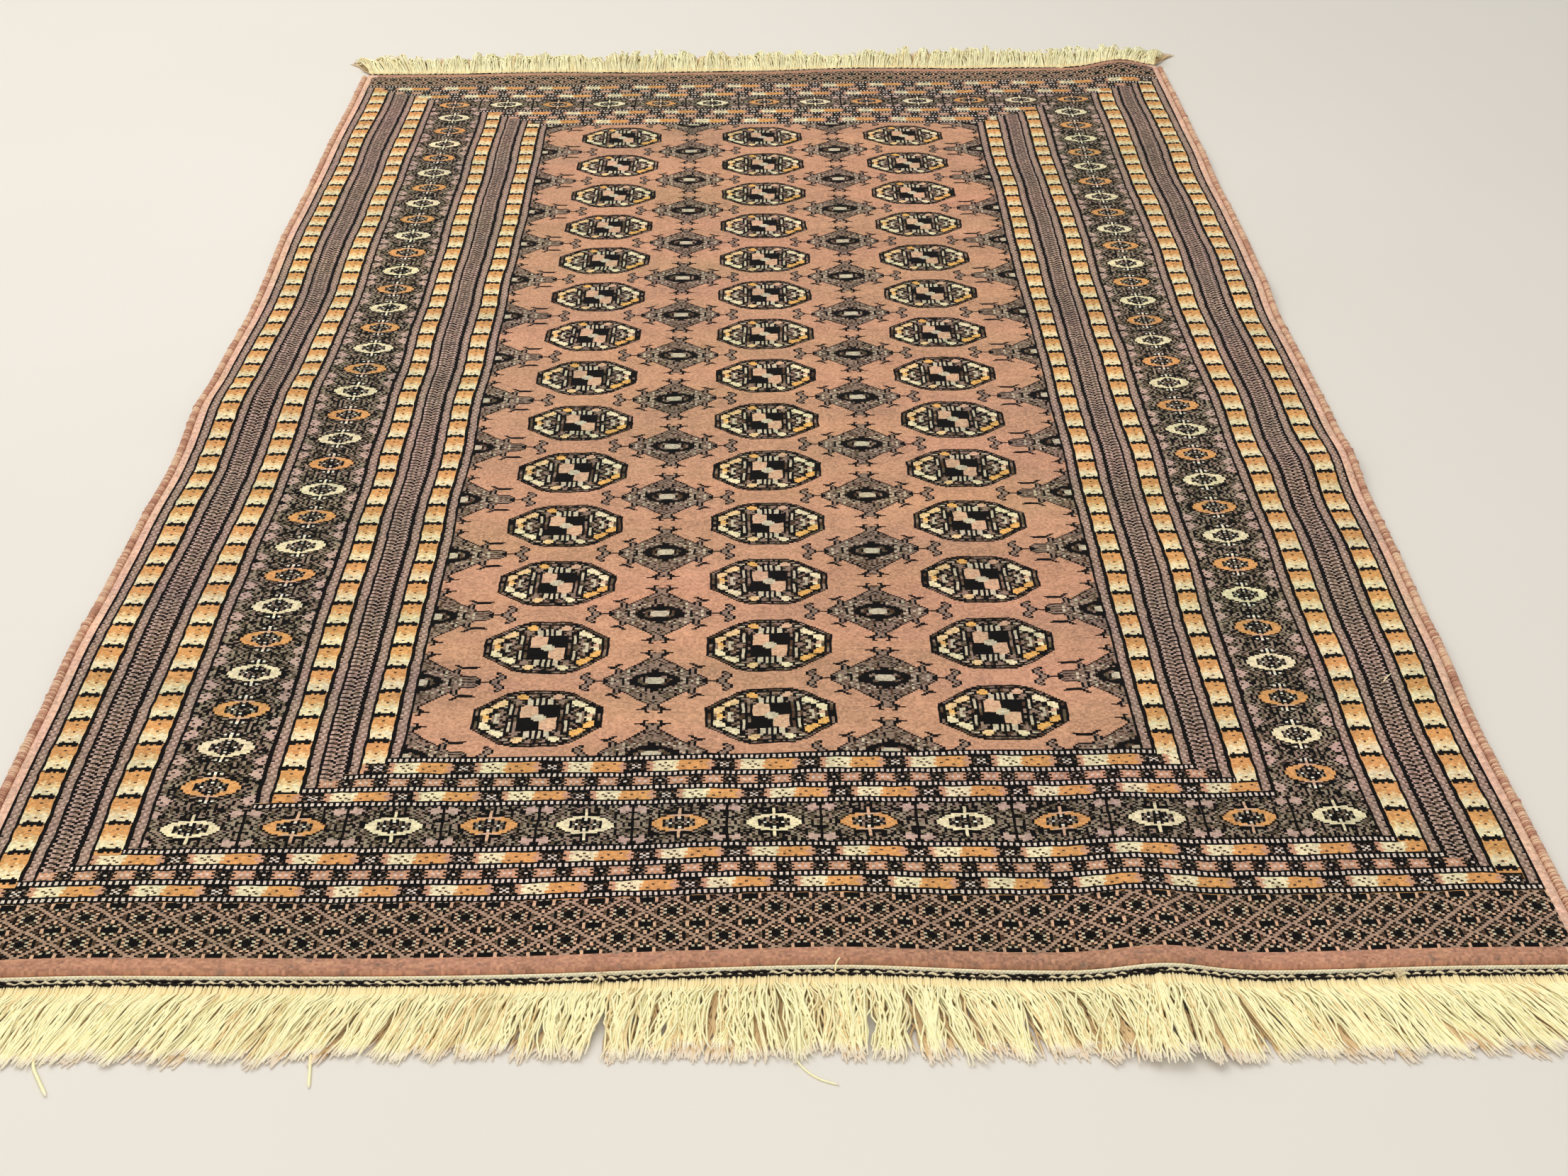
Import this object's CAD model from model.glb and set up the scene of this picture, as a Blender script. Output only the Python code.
"""A hand-knotted Bokhara rug with cream fringes, laid flat on a plain pale floor.

Every length in the tables is in millimetres on the flat rug. X runs across the rug and Y along it, from its near end to
its far end. Layout turns those into metres in the frame that the CAD solids share.
"""

import logging
import math
import random
from dataclasses import dataclass, field
from enum import Enum
from typing import Callable, Dict, List, Optional, Sequence, Tuple, Union

import bmesh
import bpy
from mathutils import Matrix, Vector, noise

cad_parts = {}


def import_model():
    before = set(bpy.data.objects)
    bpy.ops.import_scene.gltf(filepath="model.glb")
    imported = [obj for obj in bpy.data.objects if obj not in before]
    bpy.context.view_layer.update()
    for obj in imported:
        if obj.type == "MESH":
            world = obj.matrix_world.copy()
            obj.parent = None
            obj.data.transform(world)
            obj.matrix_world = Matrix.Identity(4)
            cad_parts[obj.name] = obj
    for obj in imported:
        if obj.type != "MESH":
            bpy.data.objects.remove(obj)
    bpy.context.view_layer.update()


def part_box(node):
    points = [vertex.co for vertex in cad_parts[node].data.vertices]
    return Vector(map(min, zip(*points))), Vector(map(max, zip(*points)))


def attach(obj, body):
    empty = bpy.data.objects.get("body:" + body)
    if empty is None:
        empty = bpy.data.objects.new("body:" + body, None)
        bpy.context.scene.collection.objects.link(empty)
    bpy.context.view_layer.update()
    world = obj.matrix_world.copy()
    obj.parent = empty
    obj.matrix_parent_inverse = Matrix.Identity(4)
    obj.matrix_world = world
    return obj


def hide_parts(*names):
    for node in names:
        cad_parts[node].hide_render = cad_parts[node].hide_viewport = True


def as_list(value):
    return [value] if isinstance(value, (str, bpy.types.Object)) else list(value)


LOG = logging.getLogger("bokhara_rug")

Socket = bpy.types.NodeSocket
Value = Union[float, Socket]
Colour = Tuple[float, float, float]

PILE_WIDTH = 1236.0
PILE_LENGTH = 1820.0
PILE_THICKNESS = 9.0
KNOT_X = 203.0 / 84
KNOT_Y = 97.7 / 54
FIELD_COLUMNS = 129
FIELD_NEAR = -673.85
FIELD_FAR = 693.85
FIRST_GUL = -625.0
WEAVE_MAP = "weave"
BAKE_MAP = "OFBake"


class End(Enum):
    """The two ends of the rug, with the sign of Y on each."""

    NEAR = -1
    FAR = 1


class Side(Enum):
    """The two long sides of the rug, with the sign of X on each."""

    LEFT = -1
    RIGHT = 1


class Region(Enum):
    """The panels of the pile, in the order of the pile's material slots."""

    FIELD = 0
    SIDE = 1
    ENDS = 2
    PANEL = 3
    PLAIN = 4


def linear(red: float, green: float, blue: float) -> Colour:
    """Turns a colour on the 0 to 255 screen scale into the linear one that shaders use.

    Args:
        red: The red part.
        green: The green part.
        blue: The blue part.

    Returns:
        The three linear parts, from 0 to 1.
    """
    parts = (part / 255 for part in (red, green, blue))
    return tuple(p / 12.92 if p < 0.04045 else ((p + 0.055) / 1.055) ** 2.4 for p in parts)


def smooth(value: float, low: float, high: float) -> float:
    """Returns 0 below low, 1 above high, and an even S-curve between them."""
    share = min(1.0, max(0.0, (value - low) / (high - low)))
    return share * share * (3 - 2 * share)


# The layout


@dataclass(frozen=True)
class Ripple:
    """A low swelling where the cloth lifts off the floor."""

    x: float
    y: float
    long: float
    wide: float
    height: float
    turn: float

    def rise(self, x: float, y: float) -> float:
        """Returns how high this swelling is at a point of the flat rug."""
        cos, sin = math.cos(math.radians(self.turn)), math.sin(math.radians(self.turn))
        dx, dy = x - self.x, y - self.y
        along, across = dx * cos + dy * sin, dy * cos - dx * sin
        return self.height * math.exp(-((along / self.long) ** 2) - (across / self.wide) ** 2)


@dataclass
class Layout:
    """How the rug lies: its edges waver, and its cloth lifts in a few low ripples.

    Attributes:
        side_shifts: How far each long side moves in X, from the near end to the far one.
        end_shifts: How far each end moves in Y, from left to right.
        ripples: Where the cloth lifts.
        offset: What the frame adds to every laid point.
    """

    side_shifts: Dict[Side, Sequence[float]] = field(
        default_factory=lambda: {
            Side.LEFT: (-17, -17, -17, -14.5, -11.5, -5.5, -5.5, -4.5, 1, -0.5, -1.5, 0, 0, 3, 3.5),
            Side.RIGHT: (-7, -9, -12.5, -10, -7, -7, -4, -5, -7, -0.5, 0.5, -1, 2, 3, 2),
        }
    )
    end_shifts: Dict[End, Sequence[float]] = field(
        default_factory=lambda: {
            End.NEAR: (4, 6, 3.5, 1.5, 2, 5.5, 6.5, -0.5, -3, -4.5, -2.5, -3),
            End.FAR: (-5, -6, -7, -9, -7, -5, -5, -4, -2, 0, 0, 1),
        }
    )
    ripples: Sequence[Ripple] = (
        Ripple(290, -905, 42, 150, 9, 0),
        Ripple(-600, -95, 120, 46, 8, 24),
        Ripple(-620, -300, 90, 55, 4, 8),
        Ripple(-625, -520, 95, 60, 5, -6),
        Ripple(-620, 320, 80, 70, 4, 0),
        Ripple(620, -225, 110, 44, 8, 18),
        Ripple(620, 165, 105, 50, 7, 14),
        Ripple(625, -560, 80, 60, 4, 4),
        Ripple(620, 560, 80, 70, 5, 0),
        Ripple(556, 905, 46, 60, 12.5, -15),
        Ripple(150, 912, 120, 40, 4, 0),
        Ripple(-330, 912, 110, 40, 3, 0),
    )
    offset: Vector = field(default_factory=lambda: Vector((0, 0, 0)))

    def anchor(self) -> None:
        """Sets the offset from where the pile's solid lies in the frame."""
        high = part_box("pile_carpet")[1]
        corner = self.flat_to_laid(PILE_WIDTH / 2, PILE_LENGTH / 2)
        self.offset = Vector((high[0] * 1000 - corner[0], high[1] * 1000 - corner[1], 0))
        LOG.info("layout offset %.2f %.2f mm", self.offset.x, self.offset.y)

    @staticmethod
    def read(values: Sequence[float], share: float) -> float:
        """Reads a table of evenly spaced values along a smooth line.

        Args:
            values: The table.
            share: The place in it, from 0 to 1.

        Returns:
            The value there.
        """
        last = len(values) - 1
        place = min(1.0, max(0.0, share)) * last
        row = min(int(place), last - 1)
        part = place - row
        at = [values[min(last, max(0, row + step))] for step in (-1, 0, 1, 2)]
        before, after, rise = (at[2] - at[0]) / 2, (at[3] - at[1]) / 2, at[2] - at[1]
        return at[1] + part * (before + part * (3 * rise - 2 * before - after + part * (before + after - 2 * rise)))

    def flat_to_laid(self, x: float, y: float) -> Tuple[float, float]:
        """Moves a point of the flat rug to where it lies, in millimetres and without the offset.

        Args:
            x: Across the rug.
            y: Along the rug.

        Returns:
            The moved point.
        """
        half_x, half_y = PILE_WIDTH / 2, PILE_LENGTH / 2
        up, over = (y + half_y) / PILE_LENGTH, (x + half_x) / PILE_WIDTH
        left, right = 1 - smooth(x + half_x, 0, 320), 1 - smooth(half_x - x, 0, 320)
        near, far = 1 - smooth(y + half_y, 0, 230), 1 - smooth(half_y - y, 0, 230)
        moved_x, moved_y = x, y
        if left:
            moved_x += self.read(self.side_shifts[Side.LEFT], up) * left
        if right:
            moved_x += self.read(self.side_shifts[Side.RIGHT], up) * right
        if near:
            moved_y += self.read(self.end_shifts[End.NEAR], over) * near
        if far:
            moved_y += self.read(self.end_shifts[End.FAR], over) * far
        return moved_x, moved_y

    def lift(self, x: float, y: float) -> float:
        """Returns how far the cloth's underside is off the floor at a point of the flat rug."""
        return max(0.0, sum(r.rise(x, y) for r in self.ripples) - 0.5)

    def place(self, x: float, y: float, height: float) -> Vector:
        """Lays a point of the flat rug in the frame.

        Args:
            x: Across the rug.
            y: Along the rug.
            height: Above the cloth's underside.

        Returns:
            The point in metres.
        """
        moved_x, moved_y = self.flat_to_laid(x, y)
        return Vector((moved_x + self.offset.x, moved_y + self.offset.y, self.lift(x, y) + height)) / 1000


# Node trees


class Tree:
    """A material's node tree, built with one short call a node."""

    def __init__(self, name: str) -> None:
        """Starts a material with an output and no other node."""
        self.material = bpy.data.materials.new(name)
        self.material.use_nodes = True
        self.nodes = self.material.node_tree.nodes
        self.links = self.material.node_tree.links
        self.nodes.clear()
        self.output = self.nodes.new("ShaderNodeOutputMaterial")

    def put(self, value: Value, target: Socket) -> None:
        """Links a socket to a target, or sets the target's own number or colour."""
        if isinstance(value, bpy.types.NodeSocket):
            self.links.new(value, target)
        else:
            target.default_value = value

    def math(self, operation: str, *values: Value) -> Socket:
        """Adds a Math node and returns its result."""
        node = self.nodes.new("ShaderNodeMath")
        node.operation = operation
        for value, target in zip(values, node.inputs):
            self.put(value, target)
        return node.outputs[0]

    def vector(self, operation: str, *values: Union[Value, Sequence[float]]) -> Socket:
        """Adds a Vector Math node and returns its vector, or its number for a dot product."""
        node = self.nodes.new("ShaderNodeVectorMath")
        node.operation = operation
        for value, target in zip(values, node.inputs):
            self.put(value, target)
        return node.outputs["Value" if operation == "DOT_PRODUCT" else "Vector"]

    def scaled(self, vector: Socket, factor: float) -> Socket:
        """Returns a vector times a number."""
        node = self.nodes.new("ShaderNodeVectorMath")
        node.operation = "SCALE"
        self.links.new(vector, node.inputs[0])
        node.inputs["Scale"].default_value = factor
        return node.outputs["Vector"]

    def parts(self, vector: Socket) -> Tuple[Socket, Socket, Socket]:
        """Splits a vector into its three parts."""
        node = self.nodes.new("ShaderNodeSeparateXYZ")
        self.links.new(vector, node.inputs[0])
        return node.outputs[0], node.outputs[1], node.outputs[2]

    def join(self, x: Value, y: Value, z: Value = 0.0) -> Socket:
        """Joins three numbers into a vector."""
        node = self.nodes.new("ShaderNodeCombineXYZ")
        for value, target in zip((x, y, z), node.inputs):
            self.put(value, target)
        return node.outputs[0]

    def steps(self, place: Value, colours: Sequence[Sequence[float]]) -> Tuple[Socket, Socket]:
        """Adds a ramp of equal, hard-edged steps.

        Args:
            place: The place on the ramp, from 0 to 1.
            colours: One colour a step, of three or four parts.

        Returns:
            The ramp's colour and its alpha.
        """
        return self.ramp(place, [(i / len(colours), c) for i, c in enumerate(colours)], "CONSTANT")

    def ramp(
        self, place: Value, stops: Sequence[Tuple[float, Sequence[float]]], blend: str = "LINEAR"
    ) -> Tuple[Socket, Socket]:
        """Adds a ramp.

        Args:
            place: The place on the ramp, from 0 to 1.
            stops: Where each colour begins, and the colour.
            blend: How the ramp goes from stop to stop.

        Returns:
            The ramp's colour and its alpha.
        """
        node = self.nodes.new("ShaderNodeValToRGB")
        band = node.color_ramp
        band.interpolation = blend
        while len(band.elements) < len(stops):
            band.elements.new(1.0)
        for element, (position, colour) in zip(band.elements, stops):
            element.position = position
            element.color = tuple(colour) if len(colour) == 4 else (*colour, 1.0)
        self.put(place, node.inputs[0])
        return node.outputs[0], node.outputs[1]

    def mix(self, factor: Value, first: Union[Value, Colour], second: Union[Value, Colour], kind: str = "MIX") -> Socket:
        """Mixes two colours and returns the result."""
        node = self.nodes.new("ShaderNodeMix")
        node.data_type = "RGBA"
        node.blend_type = kind
        self.put(factor, node.inputs[0])
        for value, target in ((first, node.inputs[6]), (second, node.inputs[7])):
            self.put((*value, 1.0) if isinstance(value, tuple) and len(value) == 3 else value, target)
        return node.outputs[2]

    def blend(self, factor: Value, first: Value, second: Value) -> Socket:
        """Mixes two numbers and returns the result."""
        node = self.nodes.new("ShaderNodeMix")
        self.put(factor, node.inputs[0])
        self.put(first, node.inputs[2])
        self.put(second, node.inputs[3])
        return node.outputs[0]

    def noise(self, vector: Socket, scale: float, detail: float = 2.0, rough: float = 0.5) -> Tuple[Socket, Socket]:
        """Adds a soft noise and returns its number and its colour."""
        node = self.nodes.new("ShaderNodeTexNoise")
        self.links.new(vector, node.inputs["Vector"])
        node.inputs["Scale"].default_value = scale
        node.inputs["Detail"].default_value = detail
        node.inputs["Roughness"].default_value = rough
        return node.outputs[0], node.outputs[1]

    def chance(self, vector: Socket) -> Socket:
        """Adds a random number for each whole vector."""
        node = self.nodes.new("ShaderNodeTexWhiteNoise")
        node.noise_dimensions = "3D"
        self.links.new(vector, node.inputs["Vector"])
        return node.outputs["Value"]

    def map(self, name: str) -> Socket:
        """Reads a UV map."""
        node = self.nodes.new("ShaderNodeUVMap")
        node.uv_map = name
        return node.outputs[0]

    def attribute(self, name: str) -> Socket:
        """Reads a vector attribute."""
        node = self.nodes.new("ShaderNodeAttribute")
        node.attribute_name = name
        return node.outputs["Vector"]

    def place_in_object(self) -> Socket:
        """Reads the place in the object, in metres."""
        return self.nodes.new("ShaderNodeTexCoord").outputs["Object"]

    def bump(self, height: Socket, distance: float, strength: float = 1.0, under: Optional[Socket] = None) -> Socket:
        """Adds a bump and returns its normal."""
        node = self.nodes.new("ShaderNodeBump")
        node.inputs["Distance"].default_value = distance
        node.inputs["Strength"].default_value = strength
        self.links.new(height, node.inputs["Height"])
        if under is not None:
            self.links.new(under, node.inputs["Normal"])
        return node.outputs[0]

    def finish(
        self, colour: Value, normal: Optional[Socket], roughness: float = 0.9, sheen: float = 0.0, shine: float = 0.2
    ) -> bpy.types.Material:
        """Ends the tree with its shader.

        Args:
            colour: The base colour.
            normal: The bumped normal, if there is one.
            roughness: How dull the surface is.
            sheen: How much its loose fibres catch light.
            shine: How much it mirrors.

        Returns:
            The finished material.
        """
        shader = self.nodes.new("ShaderNodeBsdfPrincipled")
        self.put(colour, shader.inputs["Base Color"])
        shader.inputs["Roughness"].default_value = roughness
        shader.inputs["Specular IOR Level"].default_value = shine
        shader.inputs["Sheen Weight"].default_value = sheen
        shader.inputs["Sheen Roughness"].default_value = 0.55
        if normal is not None:
            self.links.new(normal, shader.inputs["Normal"])
        self.links.new(shader.outputs[0], self.output.inputs[0])
        return self.material


# Knot charts


@dataclass(frozen=True)
class KnotChart:
    """A small repeat drawn by hand, one sign a knot, as on a weaver's squared paper.

    Attributes:
        signs: The signs that stand for codes 0 to 7.
        rows: The drawing. Spaces in it only help the eye.
    """

    signs: str
    rows: Sequence[str]

    PER_CHANNEL = 6
    CHANNELS = 4

    def codes(self) -> List[List[int]]:
        """Returns the drawing as codes."""
        return [[self.signs.index(sign) for sign in row.replace(" ", "")] for row in self.rows]

    def packed(self, first: int) -> List[List[float]]:
        """Packs up to 24 columns of each row into the four parts of a ramp colour.

        Args:
            first: The first column.

        Returns:
            One colour a row.
        """
        colours = []
        for row in self.codes():
            parts = []
            for channel in range(self.CHANNELS):
                start = first + channel * self.PER_CHANNEL
                digits = (row[start : start + self.PER_CHANNEL] + [0] * self.PER_CHANNEL)[: self.PER_CHANNEL]
                value = sum(code * 8.0 ** -(place + 1) for place, code in enumerate(digits))
                parts.append(value + 0.5 * 8.0**-self.PER_CHANNEL)
            colours.append(parts)
        return colours

    def lookup(self, tree: Tree, row: Socket, column: Socket) -> Socket:
        """Reads the chart in a node tree.

        Args:
            tree: The node tree.
            row: The whole row number.
            column: The whole column number.

        Returns:
            The code of the knot there.
        """
        span = self.PER_CHANNEL * self.CHANNELS
        wide = max(len(line) for line in self.codes()) > span
        place = tree.math("DIVIDE", tree.math("ADD", row, 0.5), len(self.rows))
        colour, alpha = tree.steps(place, self.packed(0))
        if wide:
            other, other_alpha = tree.steps(place, self.packed(span))
            beyond = tree.math("GREATER_THAN", column, span - 0.5)
            colour = tree.mix(beyond, colour, other)
            alpha = tree.blend(beyond, alpha, other_alpha)
        turn = tree.math("FRACT", tree.math("DIVIDE", tree.math("ADD", column, 0.5), span))
        chosen, last = tree.steps(turn, [(1, 0, 0, 0), (0, 1, 0, 0), (0, 0, 1, 0), (0, 0, 0, 1)])
        value = tree.math("MULTIPLY_ADD", alpha, last, tree.vector("DOT_PRODUCT", colour, chosen))
        digit = tree.math("ADD", tree.math("FLOORED_MODULO", column, self.PER_CHANNEL), 1.0)
        raised = tree.math("FLOOR", tree.math("MULTIPLY", value, tree.math("POWER", 8.0, digit)))
        return tree.math("FLOORED_MODULO", raised, 8.0)


@dataclass(frozen=True)
class Band:
    """One stripe of a border.

    Attributes:
        start: Its first knot, counted outward.
        column: Where its strip begins in the strip chart.
        period: The strip's length in steps.
        step: The length of a step.
        offset: How far the strip is moved along.
        main: Whether this is the wide main border.
    """

    start: int
    column: int = 0
    period: int = 1
    step: float = 2.0
    offset: float = 0.0
    main: bool = False


GUL_CHART = KnotChart(
    ".#twLsxo",
    (
        "wwwxxx x#o#oo ttowts sso#o# ...... ...... ...... .",
        "wwwxxx x#o#oo t#owt# sso#o# ...... ...... ...... .",
        "wwxxxx x#o##o #owwo# sso#o# ...... ...... ...... .",
        "#xxxxx x#o#w# #owwo# #LL#o# ...... ...... ...##. .",
        "#xxxxx x#o#w# too#o# LLL#o# ...... ...... ...#.. .",
        "#xxxxx x#o#w# oto##L LLL#o# ...... ...... ####to o",
        "#xxxxx x#o#w# #ot##L LLL#o# ...... ...... ..##ot o",
        "#xxxxx x#o#w# o##o#L LL##o# ...... ...... ...##t t",
        "#xxxxx x#o#w# w##LL# ###o#. ...... ...... ....#t t",
        "###xxx ##o#w# #LLLLL ##o#.. ...... ...... ....#o t",
        "#w#ww# tot#o# LLLLL# #o#... ...... ...... ...#tt #",
        "#w#ww# #tto## LLLLo# o#.... ...... ...... ..#ot# t",
        "#w#ww# otto## LLLo#o #..... ...... ...... .#toot t",
        "#w#ww# ootto# #L##o# ...... ...... ...... ##toto o",
        "#w##ws sso#oo o##o#. ...... ....## .....# ototot o",
        "##o#os sss#ww t#o#.. ...... ...##. ....#t ootoot o",
        "#oot#s sss### #o#... ...... ####.. ...#ot tootot t",
        "#otto# ss#to# o#.... ...... .##t#. ..#too totoot o",
        "###### ###### #..... ...... ...#t# .#toto ototoo t",
        "oooooo ooo##. ...... ...... ...#t# #twoot wotoo# #",
        "###### ###... ....## ...... ...#t# towoot otwot# #",
        "...... ...... ...#t# ...... ...#to ttotwt oto### #",
        "...... ...... ..#t#. ...... ..#tto otwoto t##### #",
        "...... ...... ..#tt# ...... .#otot wtoot# ###### #",
        "...... ...... ..#tt# ...... #ttoto otto## ##oo## #",
        "...... ...... ...#tt #....# towtoo #two## #ootww w",
        "...... ...... ....#t t#...# #twttt #wt### oo#www w",
        "...... ...... ....#t t##### #otowo #t#### oo#www w",
    ),
)

SIDE_MAIN_CHART = KnotChart(
    ".#owLitg",
    (
        "#o#w#oLLLL#oo#go",
        "o#o#o#LLLL#o#oog",
        "##o#g#LLL#oo#ooo",
        "w#o#LLLLL#o#goo#",
        "###LLLLL#oo#o#oo",
        "i#LLLL##o#oo#og#",
        "iiii##o#oo#og#..",
        "i###oo##o#oo#...",
        "i#o###oo#og#...#",
        "w#wo#oo#oo#.....",
        "w#o#oo#og#o#..#.",
        "#o#o#g#oo#oo....",
        "o#go#oo#o#og#..#",
        "#o#o#o#o#oo#oo#o",
    ),
)

# Columns: a ladder of nine, a chain of nine and a guard line of five.
SIDE_STRIP_CHART = KnotChart(
    "a#cbytpo",
    (
        "b#######b #ptp#ptp# #tpt#",
        "c#######c #pto#otp# #ptt#",
        "cc#ccc#cc p##opo##p #ttp#",
        "ccccccccc o#optpo#o #tpo#",
        "cccybyccc p##opo##p #tpt#",
        "ccccccccc #pto#otp# #ptt#",
        "ycccyccyc #ptp#ptp# #ttp#",
        "yycyyyycy #pto#otp# #tpo#",
        "yyyyyyyyy p##opo##p #tpt#",
        "yayybyyay o#optpo#o #ptt#",
        "ayyaaayya p##opo##p #ttp#",
        "aaayaayaa #pto#otp# #tpo#",
        "aaaaaaaaa #ptp#ptp# #tpt#",
        "aaaaaaaaa #pto#otp# #ptt#",
        "aaaabaaaa p##opo##p #ttp#",
        "aaaaaaaaa o#optpo#o #tpo#",
        "aaaaaaaaa p##opo##p #tpt#",
        "a##a#a##a #pto#otp# #ptt#",
    ),
)

END_MAIN_CHART = KnotChart(
    ".#owLitg",
    (
        "#o#w#oLLLL#oo#go#",
        "o#o#o#LLLL#og#oo#",
        "##o#g#LLL#oo#oog#",
        "w#o#LLLL#oo#go###",
        "i#LLLLL#oo#goo#o#",
        "iiiiL##oo#oo#ooo#",
        "i####og#oo#oo#oo#",
        "i#####oo#oo#og#o#",
        "i#oo#og#oo##..o##",
        "i#o#oo#oo#o#....#",
        "o#oo#oo#og#.....#",
        "#oo#og#oo#o#...o#",
        "o#o#oo#oo#oo#o.##",
    ),
)

# One line a step of a strip that runs across. Columns: a ladder of seven, flowers of five, beads of four.
END_STRIP_CHART = KnotChart(
    "a#cbytpo",
    (
        "##o#o## y#y#y #pp#",
        "#o###o# yyyyy ####",
        "##p#p## typyt ####",
        "#o#p#o# yyyyy ####",
        "##p#p## typyt ####",
        "#o###o# yyyyy ####",
        "##o#o## y#y#y ####",
        "yy#yy#y #o#o# ####",
        "yyyyyyy o###o ####",
        "cyccycc ##p## ####",
        "ccccccc o###o ####",
        "ccbcccc #o#o# ####",
        "cccbccc ##### ####",
        "cbcccbc ##### ####",
        "cccbccc ##### ####",
        "ccccbcc ##### ####",
        "ccccccc ##### ####",
        "ccacaac ##### ####",
        "aaaaaaa ##### ####",
        "aaaabaa ##### ####",
        "aaaaaaa ##### ####",
        "aabaaaa ##### ####",
        "aaaaaaa ##### ####",
        "aaaaaba ##### ####",
        "aaaaaaa ##### ####",
        "abaaaaa ##### ####",
        "aaaaaaa ##### ####",
        "aayyaay ##### ####",
        "yyyyyyy ##### ####",
        "#y#yy## ##### ####",
    ),
)

PANEL_CHART = KnotChart(
    ".#owLitg",
    (
        "###g#o#..",
        "##wo#o..#",
        "#o#g#..#g",
        "w#o#..#og",
        "og#..#g#o",
        "o#..#oow#",
        "#..#og###",
        "..#o#g###",
    ),
)


class Knots:
    """Where a point of the pile is in knots, worked out once for a material."""

    def __init__(self, tree: Tree, waver: float = 1.5) -> None:
        """Reads the weave map, lets its lines waver a little, and counts knots in it.

        Args:
            tree: The node tree.
            waver: How far a line wanders, in millimetres from side to side.
        """
        self.tree = tree
        self.flat = tree.scaled(tree.map(WEAVE_MAP), 1000.0)
        wander = tree.vector("SUBTRACT", tree.noise(self.flat, 0.075, 1.5)[1], (0.5, 0.5, 0.5))
        self.x, self.y, _ = tree.parts(tree.vector("ADD", self.flat, tree.scaled(wander, waver * 2)))
        self.column = tree.math("ROUND", tree.math("DIVIDE", self.x, KNOT_X))
        self.row = tree.math("ROUND", tree.math("DIVIDE", tree.math("SUBTRACT", self.y, FIRST_GUL), KNOT_Y))
        self.outward = tree.math("ABSOLUTE", self.column)
        step = tree.math("FLOOR", tree.math("MULTIPLY_ADD", self.column, 0.37, tree.math("DIVIDE", self.row, 2.4)))
        self.luck = tree.chance(tree.join(self.column, step))

    def shaded(self, colour: Socket, rose: float = 1.0) -> Socket:
        """Shades a colour as dye lots and the lie of the pile do.

        Args:
            colour: The knot's own colour.
            rose: How strongly the dye lots show.

        Returns:
            The shaded colour.
        """
        tree = self.tree
        stretched = tree.vector("MULTIPLY", self.flat, (0.25, 1.0, 1.0))
        lots, tones = tree.noise(stretched, 0.013, 3.0, 0.6)
        lay = tree.noise(self.flat, 0.035, 3.0, 0.6)[0]
        knot = tree.chance(tree.join(self.column, self.row, 3.0))
        streak = tree.noise(tree.vector("MULTIPLY", self.flat, (0.1, 1.0, 1.0)), 0.3, 2.0, 0.6)[0]
        light = tree.math("MULTIPLY_ADD", lots, 0.55 * rose, 0.70)
        light = tree.math("ADD", light, tree.math("MULTIPLY", tree.math("SUBTRACT", lay, 0.5), 0.40))
        light = tree.math("ADD", light, tree.math("MULTIPLY", tree.math("SUBTRACT", streak, 0.5), 0.24))
        light = tree.math("ADD", light, tree.math("MULTIPLY", tree.math("SUBTRACT", knot, 0.5), 0.42))
        fibre = tree.noise(self.flat, 0.45, 2.0, 0.7)[0]
        light = tree.math("ADD", light, tree.math("MULTIPLY", tree.math("SUBTRACT", fibre, 0.5), 0.7))
        tint = tree.scaled(tree.vector("SUBTRACT", tones, (0.5, 0.5, 0.5)), 0.22 * rose)
        return tree.vector("MULTIPLY", colour, tree.vector("ADD", tree.join(light, light, light), tint))

    def normal(self) -> Socket:
        """Returns the normal of cut pile: fine tufts on a slightly uneven nap."""
        tree = self.tree
        tufts = tree.noise(self.flat, 0.55, 2.0, 0.6)[0]
        nap = tree.noise(tree.vector("MULTIPLY", self.flat, (1.0, 0.6, 1.0)), 0.03, 3.0, 0.55)[0]
        return tree.bump(tufts, 0.0012, 0.7, tree.bump(nap, 0.006, 0.8))


# Finishes


@dataclass(frozen=True)
class Dyes:
    """The colours of the wool."""

    rose: Colour = linear(196, 148, 117)
    edge: Colour = linear(228, 186, 160)
    plain: Colour = linear(178, 130, 106)
    black: Colour = linear(14, 11, 10)
    brown: Colour = linear(80, 58, 42)
    taupe: Colour = linear(140, 117, 101)
    olive: Colour = linear(92, 80, 60)
    grey: Colour = linear(148, 134, 112)
    pale: Colour = linear(196, 184, 156)
    white: Colour = linear(238, 234, 212)
    cream: Colour = linear(230, 216, 174)
    amber: Colour = linear(212, 154, 94)
    orange: Colour = linear(226, 172, 96)
    yellow: Colour = linear(228, 194, 140)
    beige: Colour = linear(208, 168, 136)
    pink: Colour = linear(190, 160, 144)
    bead: Colour = linear(216, 200, 184)
    tan: Colour = linear(166, 136, 114)


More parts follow.
